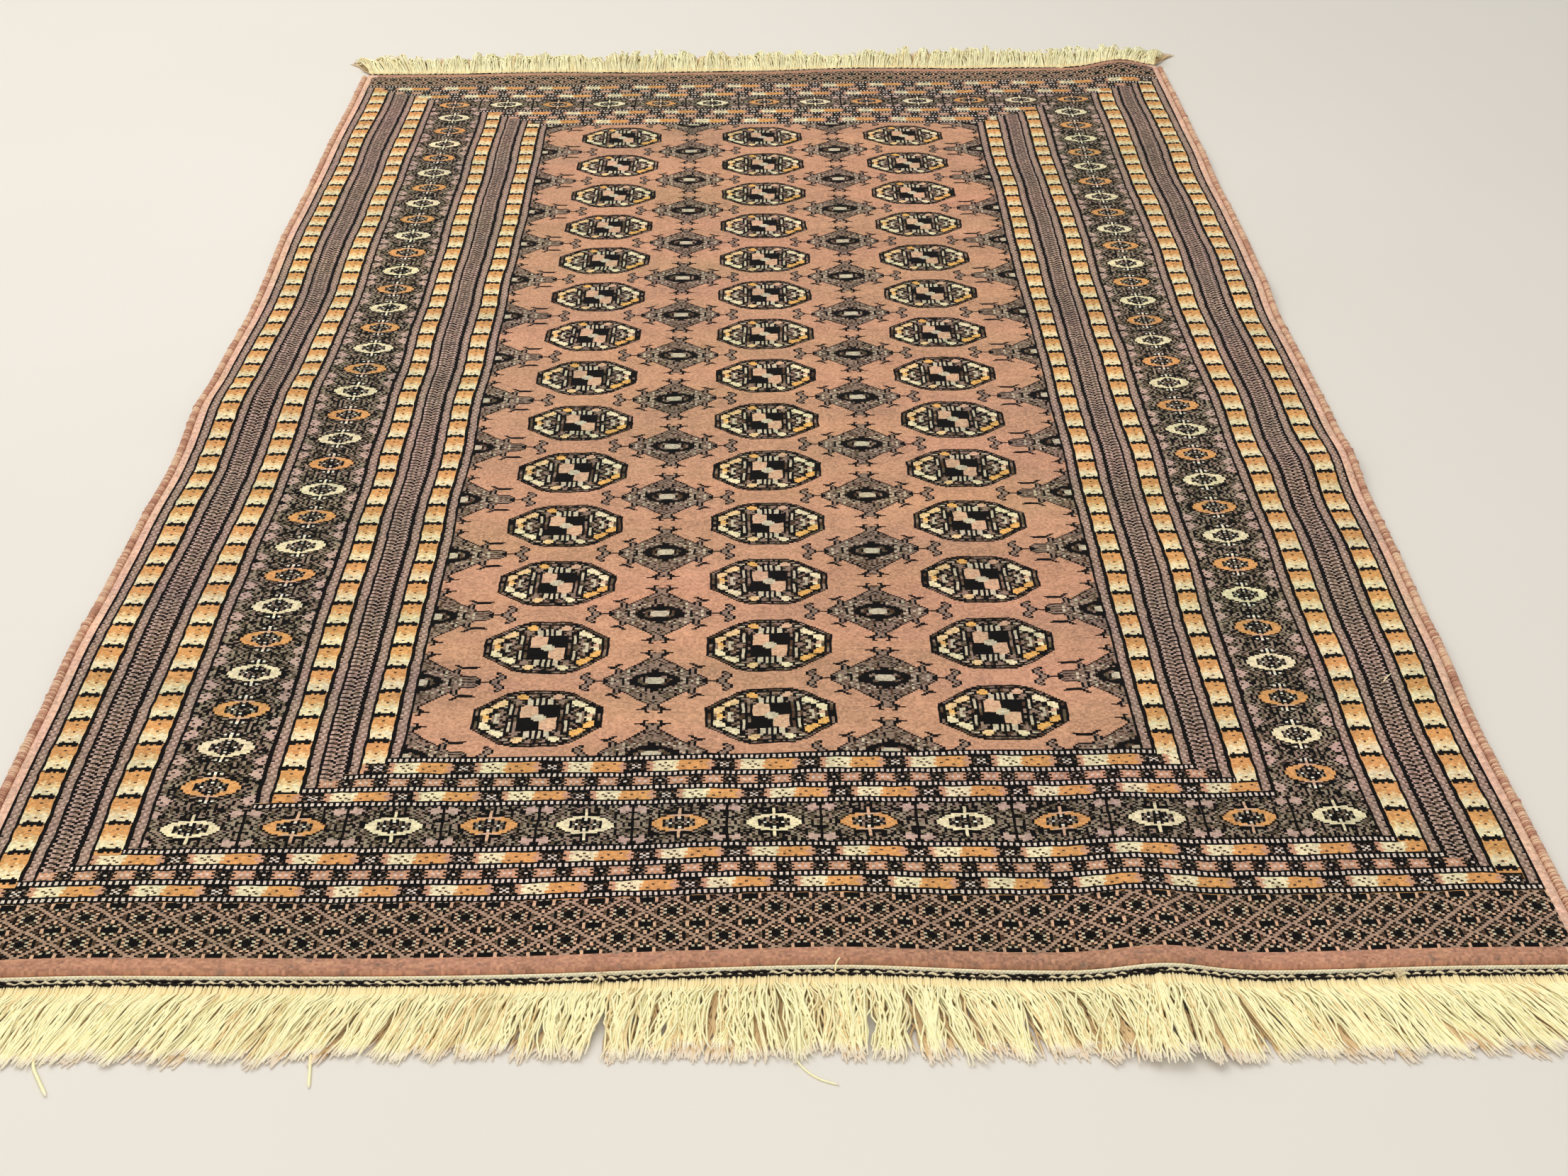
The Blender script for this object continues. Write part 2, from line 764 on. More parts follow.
@dataclass(frozen=True)
class PileFinish:
    """The finish of one panel of the pile.

    Attributes:
        name: The material's name.
        dyes: The wool's colours.
    """

    name: str
    dyes: Dyes = Dyes()

    def knots(self) -> Knots:
        """Starts the material's tree and counts its knots."""
        return Knots(Tree(self.name))

    def dye(
        self,
        knots: Knots,
        code: Socket,
        keys: Sequence[Tuple[int, int, int]],
        palette: Sequence[Colour],
        turn: Value,
        lines: Value = 0.0,
    ) -> bpy.types.Material:
        """Ends the material: it turns a chart's code into a colour of the palette.

        Args:
            knots: The knots.
            code: The code of each knot.
            keys: For each code the first colour, and whether turn or luck moves on from it.
            palette: The colours.
            turn: The number that picks between the colours of a code.
            lines: Where the black outlines run.

        Returns:
            The material.
        """
        tree = knots.tree
        place = tree.math("DIVIDE", tree.math("ADD", code, 0.5), len(keys))
        key = tree.steps(place, [(first / 32, by_turn, by_luck) for first, by_turn, by_luck in keys])[0]
        luck = tree.math("FLOOR", tree.math("MULTIPLY", knots.luck, 4.0))
        index = tree.vector("DOT_PRODUCT", key, tree.join(32.0, turn, luck))
        colour = tree.steps(tree.math("DIVIDE", tree.math("ADD", index, 0.5), len(palette)), palette)[0]
        colour = tree.mix(lines, colour, self.dyes.black)
        return tree.finish(knots.shaded(colour), knots.normal(), 0.95, 0.03, 0.06)


@dataclass(frozen=True)
class FieldFinish(PileFinish):
    """The rose field with its rows of guls and the small diamonds between them."""

    def build(self) -> bpy.types.Material:
        """Returns the material."""
        knots, d = self.knots(), self.dyes
        tree = knots.tree
        row = tree.math("PINGPONG", knots.row, 27.0)
        spare = tree.math("MINIMUM", tree.math("MAXIMUM", tree.math("SUBTRACT", knots.outward, 109.0), 0.0), 4.0)
        column = tree.math("PINGPONG", tree.math("SUBTRACT", knots.outward, spare), 42.0)
        code = GUL_CHART.lookup(tree, tree.math("ROUND", row), tree.math("ROUND", column))
        right = tree.math("GREATER_THAN", tree.math("FRACT", tree.math("MULTIPLY_ADD", knots.x, 1 / 203.0, 0.5)), 0.5)
        rise = tree.math("MULTIPLY_ADD", knots.y, 1 / 97.7, 0.5 - FIRST_GUL / 97.7)
        upper = tree.math("GREATER_THAN", tree.math("FRACT", rise), 0.5)
        quarter = tree.math("MULTIPLY_ADD", upper, 2.0, right)
        keys = [(0, 0, 0), (1, 0, 0), (2, 0, 0), (3, 0, 0), (4, 1, 0), (8, 1, 0), (12, 1, 0), (16, 0, 1)]
        palette = [
            d.rose, d.black, d.taupe, d.pale,
            d.cream, d.orange, d.yellow, d.cream,
            d.yellow, d.cream, d.orange, d.beige,
            d.black, d.beige, d.beige, d.black,
            d.black, d.olive, d.brown, d.taupe,
        ]  # fmt: skip
        return self.dye(knots, code, keys, palette, quarter)


@dataclass(frozen=True)
class BorderFinish(PileFinish):
    """What the side and end borders share: stripes of strips and one main row of medallions."""

    bands: Sequence[Band] = ()
    count: int = 128
    spare: Sequence[int] = (17, 6)

    def stripe(
        self,
        knots: Knots,
        outward: Socket,
        along: Socket,
        strips: KnotChart,
        main_code: Socket,
        parity: Socket,
        lines: Value = 0.0,
    ) -> bpy.types.Material:
        """Reads the stripes and ends the material.

        Codes 4 and 6 of the strips have a colour that each border picks with spare.

        Args:
            knots: The knots.
            outward: The knots counted outward, from 0.
            along: The distance along the border, in millimetres.
            strips: The chart with the narrow stripes side by side.
            main_code: The main border's code.
            parity: Which of its two kinds a medallion is.
            lines: Where the black outlines run.

        Returns:
            The material.
        """
        tree, d = knots.tree, self.dyes
        place = tree.math("DIVIDE", tree.math("ADD", outward, 0.5), self.count)
        first, step = tree.ramp(
            place,
            [(b.start / self.count, (b.start / 256, b.column / 32, b.period / 32, b.step / 4)) for b in self.bands],
            "CONSTANT",
        )
        second = tree.ramp(
            place, [(b.start / self.count, (b.offset / 256, float(b.main), 0.0)) for b in self.bands], "CONSTANT"
        )[0]
        start, column, period = tree.parts(first)
        offset, is_main, _ = tree.parts(second)
        moved = tree.math("MULTIPLY_ADD", offset, 256.0, along)
        counted = tree.math("FLOOR", tree.math("DIVIDE", moved, tree.math("MULTIPLY", step, 4.0)))
        row = tree.math("FLOORED_MODULO", tree.math("ADD", counted, 0.25), tree.math("MULTIPLY", period, 32.0))
        across = tree.math("MULTIPLY_ADD", column, 32.0, outward)
        across = tree.math("ROUND", tree.math("MULTIPLY_ADD", start, -256.0, across))
        code = tree.blend(is_main, strips.lookup(tree, tree.math("FLOOR", row), across), tree.math("ADD", main_code, 8.0))
        keys = [
            (0, 0, 0), (1, 0, 0), (2, 0, 0), (3, 0, 0), (self.spare[0], 0, 0), (5, 0, 0), (self.spare[1], 0, 0),
            (7, 0, 1), (6, 0, 0), (1, 0, 0), (19, 0, 1), (11, 0, 0), (12, 1, 0), (14, 1, 0), (5, 0, 0), (16, 0, 0),
        ]  # fmt: skip
        palette = [
            d.amber, d.black, d.cream, d.brown, d.rose, d.taupe, d.pink,
            d.black, d.taupe, d.olive, d.brown,
            d.white, d.cream, d.amber, d.cream, d.beige, d.grey,
            d.yellow, d.bead,
            d.black, d.taupe, d.olive, d.grey,
        ]  # fmt: skip
        return self.dye(knots, code, keys, palette, parity, lines)


@dataclass(frozen=True)
class SideFinish(BorderFinish):
    """The borders along the long sides."""

    bands: Sequence[Band] = (
        Band(2, 18, 4),
        Band(7, 0, 18),
        Band(15, 18, 4),
        Band(20, 9, 3),
        Band(28, 18, 4),
        Band(33, 0, 18),
        Band(41, 18, 4),
        Band(46, main=True),
        Band(77, 18, 4),
        Band(82, 0, 18),
        Band(91, 18, 4),
        Band(96, 9, 3),
        Band(105, 18, 4),
        Band(110, 0, 18),
        Band(119, 18, 4),
    )

    def build(self) -> bpy.types.Material:
        """Returns the material."""
        knots = self.knots()
        tree = knots.tree
        outward = tree.math("SUBTRACT", knots.outward, 128.0)
        right = tree.math("GREATER_THAN", knots.x, 0.0)
        pitch = tree.math("MULTIPLY_ADD", right, 33.0 / 18 - 32.65 / 18, 32.65 / 18)
        along = tree.math("MULTIPLY", tree.math("DIVIDE", tree.math("ADD", knots.y, 653.0), pitch), 2.0)
        count = tree.math("MULTIPLY_ADD", knots.y, 1 / 49.49, 757.1 / 49.49)
        nearest = tree.math("ROUND", count)
        row = tree.math("MULTIPLY", tree.math("ABSOLUTE", tree.math("SUBTRACT", count, nearest)), 49.49 / KNOT_Y)
        row = tree.math("MINIMUM", tree.math("ROUND", row), 13.0)
        column = tree.math("MINIMUM", tree.math("ABSOLUTE", tree.math("SUBTRACT", knots.outward, 189.0)), 15.0)
        code = SIDE_MAIN_CHART.lookup(tree, row, column)
        parity = tree.math("FLOORED_MODULO", nearest, 2.0)
        place = tree.math("SUBTRACT", tree.math("ABSOLUTE", tree.math("DIVIDE", knots.x, KNOT_X)), 127.5)
        marks = [(b.start, b.start + 5) for b in self.bands if b.column == 18]
        stops: List[Tuple[float, int]] = []
        for low, high in marks:
            stops += [(low - 0.3, 1), (low + 0.95, 0), (high - 0.95, 1), (high + 0.3, 0)]
        lines = tree.ramp(
            tree.math("DIVIDE", place, self.count), [(at / self.count, (on, on, on)) for at, on in stops], "CONSTANT"
        )[0]
        return self.stripe(knots, outward, along, SIDE_STRIP_CHART, code, parity, lines)


@dataclass(frozen=True)
class EndFinish(BorderFinish):
    """The borders along the two ends, inside the outer panels."""

    count: int = 96
    spare: Sequence[int] = (4, 18)
    bands: Sequence[Band] = (
        Band(0, 12, 2, KNOT_X),
        Band(4, 0, 30, KNOT_X, 49.0),
        Band(11, 12, 2, KNOT_X),
        Band(15, 7, 12, KNOT_X, 0.0),
        Band(20, 12, 2, KNOT_X),
        Band(24, 0, 30, KNOT_X, 23.0),
        Band(30, 12, 2, KNOT_X),
        Band(34, main=True),
        Band(59, 12, 2, KNOT_X),
        Band(63, 0, 30, KNOT_X, 38.0),
        Band(69, 12, 2, KNOT_X),
        Band(73, 7, 12, KNOT_X, 14.0),
        Band(78, 12, 2, KNOT_X),
        Band(82, 0, 30, KNOT_X, 73.0),
        Band(88, 12, 2, KNOT_X),
    )

    def build(self) -> bpy.types.Material:
        """Returns the material."""
        knots = self.knots()
        tree = knots.tree
        near = tree.math("MULTIPLY_ADD", knots.y, -1 / KNOT_Y, FIELD_NEAR / KNOT_Y)
        far = tree.math("MULTIPLY_ADD", knots.y, 1 / KNOT_Y, -FIELD_FAR / KNOT_Y)
        outward = tree.math("MAXIMUM", tree.math("FLOOR", tree.math("MAXIMUM", near, far)), 0.0)
        count = tree.math("MULTIPLY_ADD", knots.x, 1 / 77.4, 462.0 / 77.4)
        nearest = tree.math("ROUND", count)
        column = tree.math("MULTIPLY", tree.math("ABSOLUTE", tree.math("SUBTRACT", count, nearest)), 32.0)
        column = tree.math("MINIMUM", tree.math("ROUND", column), 16.0)
        row = tree.math("MINIMUM", tree.math("ABSOLUTE", tree.math("SUBTRACT", outward, 46.0)), 12.0)
        code = END_MAIN_CHART.lookup(tree, row, column)
        beyond = tree.math("GREATER_THAN", knots.y, 0.0)
        parity = tree.math("FLOORED_MODULO", tree.math("ADD", nearest, beyond), 2.0)
        along = tree.math("ADD", knots.x, 725.0)
        return self.stripe(knots, outward, along, END_STRIP_CHART, code, parity)


@dataclass(frozen=True)
class PanelFinish(PileFinish):
    """The outer panels at the ends, filled with small staggered stars."""

    def build(self) -> bpy.types.Material:
        """Returns the material."""
        knots, d = self.knots(), self.dyes
        tree = knots.tree
        column = tree.math("ROUND", tree.math("MULTIPLY_ADD", knots.x, 8 / 19.8, -1.5 * 8 / 19.8))
        row = tree.math("ROUND", tree.math("MULTIPLY_ADD", knots.y, 7 / 13.1, 856.6 * 7 / 13.1))
        column, row = tree.math("PINGPONG", column, 8.0), tree.math("PINGPONG", row, 7.0)
        code = PANEL_CHART.lookup(tree, tree.math("ROUND", row), tree.math("ROUND", column))
        keys = [(0, 0, 0), (1, 0, 0), (2, 0, 1), (6, 0, 0), (7, 0, 0), (7, 0, 0), (8, 0, 0), (9, 0, 0)]
        palette = [d.tan, d.black, d.brown, d.olive, d.black, d.brown, d.pale, d.cream, d.taupe, d.beige]
        return self.dye(knots, code, keys, palette, 0.0)


@dataclass(frozen=True)
class PlainFinish(PileFinish):
    """The plain rose strip round the outside."""

    def build(self) -> bpy.types.Material:
        """Returns the material."""
        knots, d = self.knots(), self.dyes
        tree = knots.tree
        cloud = tree.noise(tree.vector("MULTIPLY", knots.flat, (0.5, 1.0, 1.0)), 0.16, 4.0, 0.65)[0]
        brown = tree.ramp(cloud, [(0.3, d.taupe), (0.42, d.plain), (0.75, d.rose)])[0]
        bright = tree.ramp(cloud, [(0.2, d.rose), (0.48, d.edge)])[0]
        colour = tree.mix(tree.math("GREATER_THAN", knots.outward, 248.0), brown, bright)
        return tree.finish(knots.shaded(colour), knots.normal(), 0.95, 0.03, 0.06)


@dataclass(frozen=True)
class WrapFinish:
    """Rose wool wrapped round the side cords. Each turn of yarn has its own shade."""

    name: str = "wrapped_wool"
    dark: Colour = linear(168, 118, 96)
    body: Colour = linear(204, 158, 130)
    light: Colour = linear(226, 192, 160)

    def build(self) -> bpy.types.Material:
        """Returns the material."""
        tree = Tree(self.name)
        here = tree.place_in_object()
        chance = tree.parts(tree.attribute("yarn"))[1]
        patch = tree.noise(here, 24.0, 3.0, 0.6)[0]
        fibre = tree.noise(here, 700.0, 2.0, 0.6)[0]
        shade = tree.math("MULTIPLY_ADD", chance, 0.45, tree.math("MULTIPLY_ADD", fibre, 0.4, patch))
        colour = tree.ramp(shade, [(0.55, self.dark), (0.9, self.body), (1.3, self.light)])[0]
        return tree.finish(colour, tree.bump(fibre, 0.0005, 0.5), 0.95, 0.05, 0.06)


@dataclass(frozen=True)
class FlatWeaveFinish:
    """Cream cotton, woven flat with ribs across the rug."""

    name: str = "flat_woven_cotton"
    light: Colour = linear(255, 246, 208)
    dark: Colour = linear(240, 206, 154)

    def build(self) -> bpy.types.Material:
        """Returns the material."""
        tree = Tree(self.name)
        flat = tree.scaled(tree.map(WEAVE_MAP), 1000.0)
        x, y, _ = tree.parts(flat)
        patch = tree.noise(flat, 0.05, 3.0, 0.6)[0]
        grain = tree.noise(tree.vector("MULTIPLY", flat, (1.0, 2.4, 1.0)), 0.5, 2.0)[0]
        warps = tree.math("SINE", tree.math("MULTIPLY", x, 2 * math.pi / 3.0))
        ribs = tree.math("SINE", tree.math("MULTIPLY", y, 2 * math.pi / 2.2))
        height = tree.math("ADD", tree.math("MULTIPLY", warps, ribs), tree.math("MULTIPLY", grain, 1.5))
        shade = tree.math("MULTIPLY_ADD", height, 0.12, tree.math("MULTIPLY_ADD", patch, 0.8, 0.18))
        colour = tree.ramp(shade, [(0.2, self.dark), (0.75, self.light)])[0]
        return tree.finish(colour, tree.bump(height, 0.0006, 0.7), 0.9, 0.08, 0.15)


@dataclass(frozen=True)
class YarnFinish:
    """Loose yarn. Its attribute holds the length along it, its own chance and the share of its length.

    Attributes:
        name: The material's name.
        root: The colour at the root.
        body: The colour of the free length.
        shadow: The colour of soiled or shaded yarns.
        tip: The colour of the cut ends.
        root_length: How long the root colour lasts, in millimetres.
    """

    name: str
    root: Colour
    body: Colour
    shadow: Colour
    tip: Colour
    root_length: float = 11.0

    def build(self) -> bpy.types.Material:
        """Returns the material."""
        tree = Tree(self.name)
        along, chance, share = tree.parts(tree.attribute("yarn"))
        here = tree.place_in_object()
        turned = tree.join(tree.math("MULTIPLY", along, 0.12), tree.math("MULTIPLY", chance, 90.0), 0.0)
        fibre = tree.noise(turned, 3.0, 2.0)[0]
        patch = tree.noise(here, 16.0, 2.0)[0]
        own = tree.math("MULTIPLY_ADD", chance, 0.5, tree.math("MULTIPLY", patch, 0.5))
        shade = tree.math("MULTIPLY_ADD", fibre, 0.4, own)
        colour = tree.ramp(shade, [(0.38, self.shadow), (0.6, self.body), (0.95, self.body)])[0]
        rooted = tree.ramp(tree.math("DIVIDE", along, self.root_length), [(0.7, (0.8, 0.8, 0.8)), (1.0, (0, 0, 0))])[0]
        colour = tree.mix(rooted, colour, self.root)
        ended = tree.ramp(share, [(0.88, (0, 0, 0)), (0.97, (0.75, 0.75, 0.75))])[0]
        colour = tree.mix(ended, colour, self.tip)
        twist = tree.noise(tree.vector("MULTIPLY", here, (1.0, 1.0, 2.0)), 900.0, 1.0)[0]
        return tree.finish(colour, tree.bump(twist, 0.0005, 0.5), 0.9, 0.04, 0.08)


@dataclass(frozen=True)
class TwinedFinish:
    """Dark or pale yarn of the twined line, with small flecks of the other.

    Attributes:
        name: The material's name.
        base: The yarn's colour.
        fleck: The flecks' colour.
        share: How much of it is flecks.
    """

    name: str
    base: Colour
    fleck: Colour
    share: float

    def build(self) -> bpy.types.Material:
        """Returns the material."""
        tree = Tree(self.name)
        here = tree.place_in_object()
        spots = tree.noise(tree.vector("MULTIPLY", here, (0.6, 1.0, 1.0)), 260.0, 2.0, 0.6)[0]
        fibre = tree.noise(here, 900.0, 1.0)[0]
        lit = tree.ramp(spots, [(1 - self.share - 0.04, (0, 0, 0)), (1 - self.share + 0.04, (1, 1, 1))])[0]
        return tree.finish(tree.mix(lit, self.base, self.fleck), tree.bump(fibre, 0.0005, 0.5), 0.9, 0.04, 0.08)


@dataclass(frozen=True)
class FloorFinish:
    """A plain pale floor."""

    name: str = "pale_floor"
    light: Colour = linear(226, 221, 212)
    dark: Colour = linear(219, 213, 203)

    def build(self) -> bpy.types.Material:
        """Returns the material."""
        tree = Tree(self.name)
        cloud = tree.noise(tree.place_in_object(), 1.4, 3.0, 0.5)[0]
        colour = tree.mix(cloud, self.dark, self.light)
        return tree.finish(colour, tree.bump(cloud, 0.0005, 0.2), 0.6, 0.0, 0.3)


# Pieces


def add_object(name: str, mesh: bpy.types.Mesh, finishes: Sequence[bpy.types.Material]) -> bpy.types.Object:
    """Adds a mesh to the scene as an object.

    Args:
        name: Its name.
        mesh: Its mesh, in frame metres.
        finishes: Its materials, in the order of its slots.

    Returns:
        The object.
    """
    piece = bpy.data.objects.new(name, mesh)
    bpy.context.scene.collection.objects.link(piece)
    for finish in finishes:
        mesh.materials.append(finish)
    mesh.polygons.foreach_set("use_smooth", [True] * len(mesh.polygons))
    LOG.info("%s: %d faces", name, len(mesh.polygons))
    return piece


def stations(marks: Sequence[float], spacing: float) -> List[float]:
    """Fills the gaps between marks with evenly spaced places.

    Args:
        marks: Places that must be kept.
        spacing: The widest gap that may stay.

    Returns:
        All places in order.
    """
    kept = sorted({round(mark, 4) for mark in marks})
    places = [kept[0]]
    for low, high in zip(kept, kept[1:]):
        parts = max(1, math.ceil((high - low) / spacing))
        places += [low + (high - low) * (part + 1) / parts for part in range(parts)]
    return places


@dataclass
class Slab:
    """A closed slab of cloth over a grid of places.

    Attributes:
        layout: How the rug lies.
        across: The grid's places in X.
        along: The grid's places in Y.
        top: The height of the top at a place.
        waver: How a place moves within the cloth, for a hand-woven look.
    """

    layout: Layout
    across: Sequence[float]
    along: Sequence[float]
    top: Callable[[float, float], float]
    waver: Optional[Callable[[float, float], Tuple[float, float]]] = None

    def mesh(self, name: str, region: Optional[Callable[[float, float], int]] = None) -> bpy.types.Mesh:
        """Builds the slab.

        Args:
            name: The mesh's name.
            region: The material slot for a place, if there are several.

        Returns:
            The mesh, with its weave map and its bake map.
        """
        wide, deep = len(self.across) - 1, len(self.along) - 1
        shape = bmesh.new()
        bmesh.ops.create_grid(shape, x_segments=wide, y_segments=deep, size=1.0)
        grown = bmesh.ops.extrude_face_region(shape, geom=shape.faces[:], use_keep_orig=True)
        upper = {v for v in grown["geom"] if isinstance(v, bmesh.types.BMVert)}
        weave, bake = shape.loops.layers.uv.new(WEAVE_MAP), shape.loops.layers.uv.new(BAKE_MAP)
        flat = {}
        for vert in shape.verts:
            x = self.across[round((vert.co.x + 1) / 2 * wide)]
            y = self.along[round((vert.co.y + 1) / 2 * deep)]
            flat[vert] = (x, y)
            moved = self.waver(x, y) if self.waver else (x, y)
            vert.co = self.layout.place(*moved, self.top(x, y) if vert in upper else 0.0)
        bmesh.ops.recalc_face_normals(shape, faces=shape.faces[:])
        low_x, low_y = self.across[0], self.along[0]
        size_x, size_y = self.across[-1] - low_x, self.along[-1] - low_y
        widest = max(size_x, size_y)
        for face in shape.faces:
            tops = [vert in upper for vert in face.verts]
            middle = [sum(flat[v][axis] for v in face.verts) / len(face.verts) for axis in (0, 1)]
            if region:
                face.material_index = region(*middle)
            for loop in face.loops:
                x, y = flat[loop.vert]
                loop[weave].uv = (x / 1000, y / 1000)
                u, v = (x - low_x) / widest, (y - low_y) / widest
                if all(tops):
                    spot = (u, v)
                elif not any(tops):
                    spot = (size_x / widest + 0.01 + u * 0.4, v * 0.4)
                else:
                    spot = (size_x / widest + 0.03 + u * 0.25 + 0.004 * (loop.vert in upper), 0.5 + v * 0.45)
                loop[bake].uv = (min(1.0, spot[0]), min(1.0, spot[1]))
        mesh = bpy.data.meshes.new(name)
        shape.to_mesh(mesh)
        shape.free()
        return mesh


@dataclass
class PileCarpet:
    """The knotted cloth with its field, borders and panels."""

    layout: Layout
    spacing: float = 8.0
    rim: float = 6.0

    SIDE_RINGS = (129.5, 134.5, 142.5, 147.5, 155.5, 160.5, 168.5, 173.5, 204.5, 209.5, 218.5, 223.5, 232.5, 237.5, 246.5, 251.5)
    END_RINGS = (0, 4, 11, 15, 20, 24, 30, 34, 59, 63, 69, 73, 78, 82, 88, 92)
    PANEL_ROWS = {End.NEAR: 123.5, End.FAR: 112.0}

    def region(self, x: float, y: float) -> int:
        """Returns the panel that a place belongs to, as a slot number."""
        column = abs(x) / KNOT_X
        end = End.NEAR if y < 0 else End.FAR
        row = (FIELD_NEAR - y if end is End.NEAR else y - FIELD_FAR) / KNOT_Y
        if column > self.SIDE_RINGS[-1] or row > self.PANEL_ROWS[end]:
            return Region.PLAIN.value
        if row > self.END_RINGS[-1]:
            return Region.PANEL.value
        side_ring = sum(column > edge for edge in self.SIDE_RINGS)
        end_ring = sum(row > edge for edge in self.END_RINGS)
        if side_ring == end_ring == 0:
            return Region.FIELD.value
        return Region.SIDE.value if side_ring > end_ring else Region.ENDS.value

    def rim_height(self, x: float, y: float) -> float:
        """Returns the height of the pile at a place. It falls away round the edge."""
        inward = min(PILE_WIDTH / 2 - abs(x), PILE_LENGTH / 2 - abs(y))
        short = max(0.0, self.rim - inward)
        height = PILE_THICKNESS - self.rim + math.sqrt(max(0.0, self.rim**2 - short**2))
        return height + 0.35 * noise.noise(Vector((x / 45, y / 45, 4.0))) * min(1.0, inward / 20)

    @staticmethod
    def waver(x: float, y: float) -> Tuple[float, float]:
        """Moves a place a little within the cloth, as hand knotting does."""
        inward = min(PILE_WIDTH / 2 - abs(x), PILE_LENGTH / 2 - abs(y))
        drift = noise.noise_vector(Vector((x / 95, y / 95, 1.5))) * 2.6 * smooth(inward, 2, 40)
        return x + drift.x, y + drift.y

    def places(self) -> Tuple[List[float], List[float]]:
        """Returns the grid's places in X and Y, with every panel's edge among them."""
        edge = (0.0, 0.5, 1.4, 2.6, 4.2, 6.0)
        across = [sign * (PILE_WIDTH / 2 - step) for sign in (-1, 1) for step in edge]
        across += [sign * column * KNOT_X for sign in (-1, 1) for column in self.SIDE_RINGS]
        along = [sign * (PILE_LENGTH / 2 - step) for sign in (-1, 1) for step in edge]
        along += [FIELD_NEAR - row * KNOT_Y for row in (*self.END_RINGS, self.PANEL_ROWS[End.NEAR])]
        along += [FIELD_FAR + row * KNOT_Y for row in (*self.END_RINGS, self.PANEL_ROWS[End.FAR])]
        along = [y for y in along if abs(y) <= PILE_LENGTH / 2]
        return stations(across, self.spacing), stations(along, self.spacing)

    def build(self) -> bpy.types.Object:
        """Returns the pile."""
        across, along = self.places()
        mesh = Slab(self.layout, across, along, self.rim_height, self.waver).mesh("pile", self.region)
        finishes = [
            FieldFinish("pile_field").build(),
            SideFinish("pile_side_border").build(),
            EndFinish("pile_end_border").build(),
            PanelFinish("pile_end_panel").build(),
            PlainFinish("pile_plain").build(),
        ]
        piece = add_object("pile_cloth", mesh, finishes)
        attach(piece, "root")
        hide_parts("pile_carpet")
        return piece


@dataclass
class Strand:
    """One round yarn: its points in frame metres, its radius at each, and its own chance number."""

    points: List[Vector]
    radii: List[float]
    chance: float = 0.5


@dataclass
class YarnBundle:
    """Many round yarns joined into one mesh.

    Attributes:
        name: The object's name.
        strands: The yarns.
        roundness: Extra sides: 0 is a square yarn, 1 a six-sided and 2 an eight-sided one.
    """

    name: str
    strands: List[Strand]
    roundness: int = 1

    def mesh(self) -> bpy.types.Mesh:
        """Sweeps a circle along every yarn and joins the results."""
        curve = bpy.data.curves.new(self.name, "CURVE")
        curve.dimensions = "3D"
        curve.bevel_depth = 1.0
        curve.bevel_resolution = self.roundness
        for strand in self.strands:
            spline = curve.splines.new("POLY")
            spline.points.add(len(strand.points) - 1)
            spline.points.foreach_set("co", [part for p in strand.points for part in (*p, 1.0)])
            spline.points.foreach_set("radius", strand.radii)
        holder = bpy.data.objects.new(self.name, curve)
        bpy.context.scene.collection.objects.link(holder)
        bpy.context.view_layer.update()
        found = bpy.data.meshes.new_from_object(holder.evaluated_get(bpy.context.evaluated_depsgraph_get()))
        bpy.data.objects.remove(holder)
        bpy.data.curves.remove(curve)
        self.shade(found)
        shape = bmesh.new()
        shape.from_mesh(found)
        bmesh.ops.holes_fill(shape, edges=shape.edges[:], sides=0)
        bmesh.ops.recalc_face_normals(shape, faces=shape.faces[:])
        shape.to_mesh(found)
        shape.free()
        return found

    def shade(self, mesh: bpy.types.Mesh) -> None:
        """Writes each yarn's shade numbers on its vertices."""
        rings = sum(len(strand.points) for strand in self.strands)
        sides = len(mesh.vertices) // rings
        if sides * rings != len(mesh.vertices):
            raise ValueError(f"{self.name}: {len(mesh.vertices)} vertices on {rings} rings")
        values: List[float] = []
        for strand in self.strands:
            run = 0.0
            for index, point in enumerate(strand.points):
                run += (point - strand.points[index - 1]).length * 1000 if index else 0.0
                values += [run, strand.chance, index / (len(strand.points) - 1)] * sides
        mesh.attributes.new("yarn", "FLOAT_VECTOR", "POINT").data.foreach_set("vector", values)

    def build(self, finish: bpy.types.Material, node: str, slot: str) -> bpy.types.Object:
        """Adds the yarns as one piece.

        Args:
            finish: The material.
            node: The CAD node that it stands for.
            slot: The record's slot of its finish.

        Returns:
            The piece.
        """
        piece = add_object(self.name, self.mesh(), [finish])
        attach(piece, "root")
        if node:
            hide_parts(node)
        return piece


